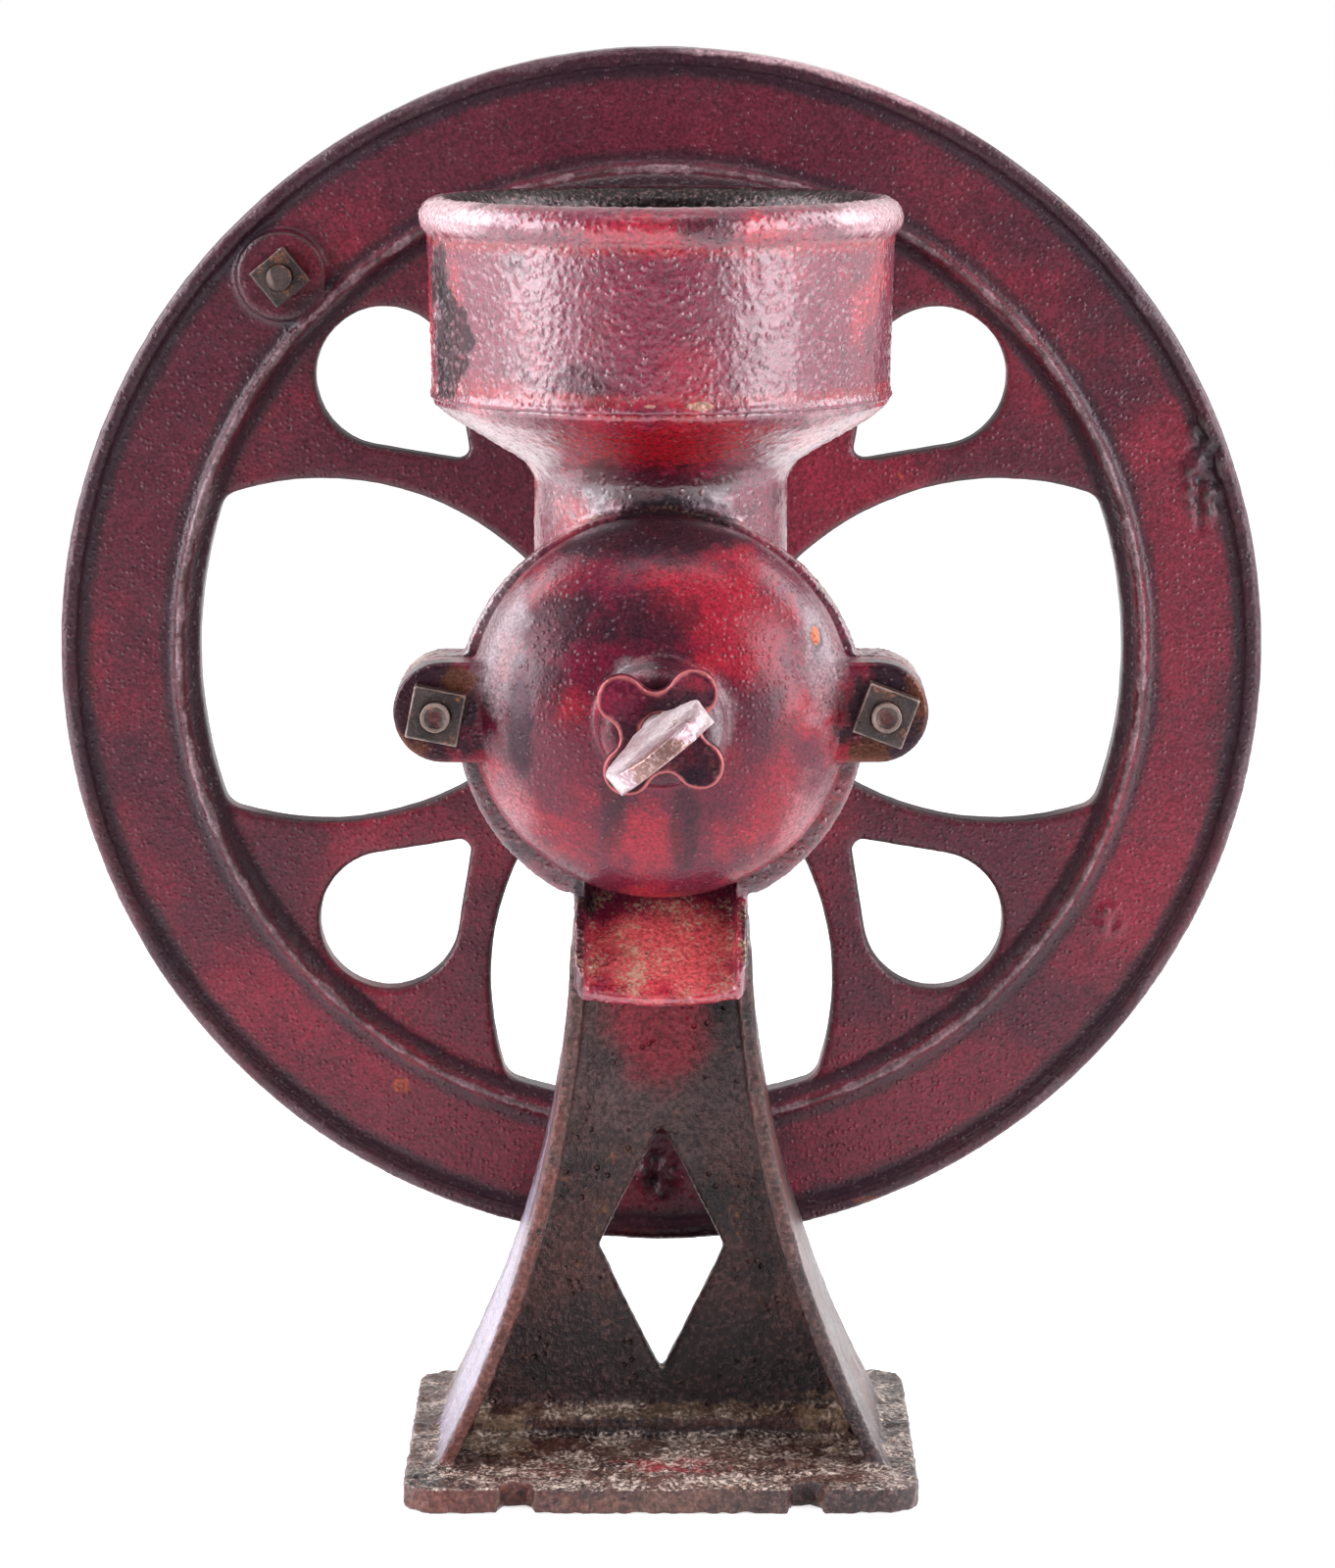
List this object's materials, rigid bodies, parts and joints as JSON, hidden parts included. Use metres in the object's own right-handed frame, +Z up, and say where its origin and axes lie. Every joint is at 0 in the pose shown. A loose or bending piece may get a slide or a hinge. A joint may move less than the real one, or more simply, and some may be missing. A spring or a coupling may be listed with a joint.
{
  "type": "manual coffee grinder",
  "caption": "Cast-iron counter coffee mill with a round hopper, a domed cover with a grind screw, an open chute, a flared pedestal and a rear flywheel turned by a crank grip on its rim.",
  "frame": {"origin": "centre of the foot plate's underside", "axes": "+Z up, +Y from the cover towards the flywheel, +X to the right as seen from the cover"},
  "size_m": [0.271, 0.2765, 0.309],
  "materials": {
    "body_paint": "worn glossy red paint over cast iron",
    "wheel_paint": "worn satin maroon paint over cast iron",
    "pedestal_iron": "dark worn paint and rust over cast iron",
    "old_steel": "dark oxidised steel with rust",
    "bright_steel": "worn bare steel",
    "burr_iron": "bare chilled iron",
    "grip_wood": "worn oiled hardwood"
  },
  "bodies": {
    "stand": {"pedestal": "pedestal_iron", "pedestal_bolts": "old_steel", "mill_body": "body_paint", "hopper": "body_paint", "hopper_screws": "old_steel", "front_cover": "body_paint", "cover_bolts": "old_steel", "cover_nuts": "old_steel", "fixed_burr": "burr_iron", "fixed_burr_screws": "old_steel"},
    "thrust": {"thrust_button": "bright_steel"},
    "adjuster": {"adjusting_screw": "bright_steel"},
    "lock": {"lock_nut": "body_paint"},
    "rotor": {"shaft": "bright_steel", "feed_worm": "burr_iron", "worm_pin": "old_steel", "rotating_burr": "burr_iron", "burr_pin": "old_steel", "flywheel": "wheel_paint", "flywheel_key": "old_steel", "shaft_washer": "old_steel", "shaft_nut": "old_steel", "crank_spindle": "old_steel", "crank_nut": "old_steel"},
    "grip": {"crank_grip": "grip_wood"}
  },
  "joints": [
    {"name": "grind_set", "type": "slide", "parent": "stand", "child": "thrust", "axis": [0, 1, 0], "range_m": [-0.00127, 0.00064]},
    {"name": "screw_turn", "type": "hinge", "parent": "thrust", "child": "adjuster", "pos_m": [0, -0.1, 0.1735], "axis": [0, 1, 0], "range_deg": [-361, 181]},
    {"name": "lock_nut_turn", "type": "hinge", "parent": "stand", "child": "lock", "pos_m": [0, -0.085, 0.1735], "axis": [0, 1, 0], "range_deg": [-180, 0]},
    {"name": "wheel_spin", "type": "hinge", "parent": "thrust", "child": "rotor", "pos_m": [0, 0.051, 0.1735], "axis": [0, 1, 0], "continuous": true},
    {"name": "grip_spin", "type": "hinge", "parent": "rotor", "child": "grip", "pos_m": [-0.08485, 0.106, 0.25835], "axis": [0, 1, 0], "continuous": true}
  ],
  "couplings": [
    {"joint": "screw_turn", "follows": "grind_set", "rad_per_m": 4947.4}
  ]
}
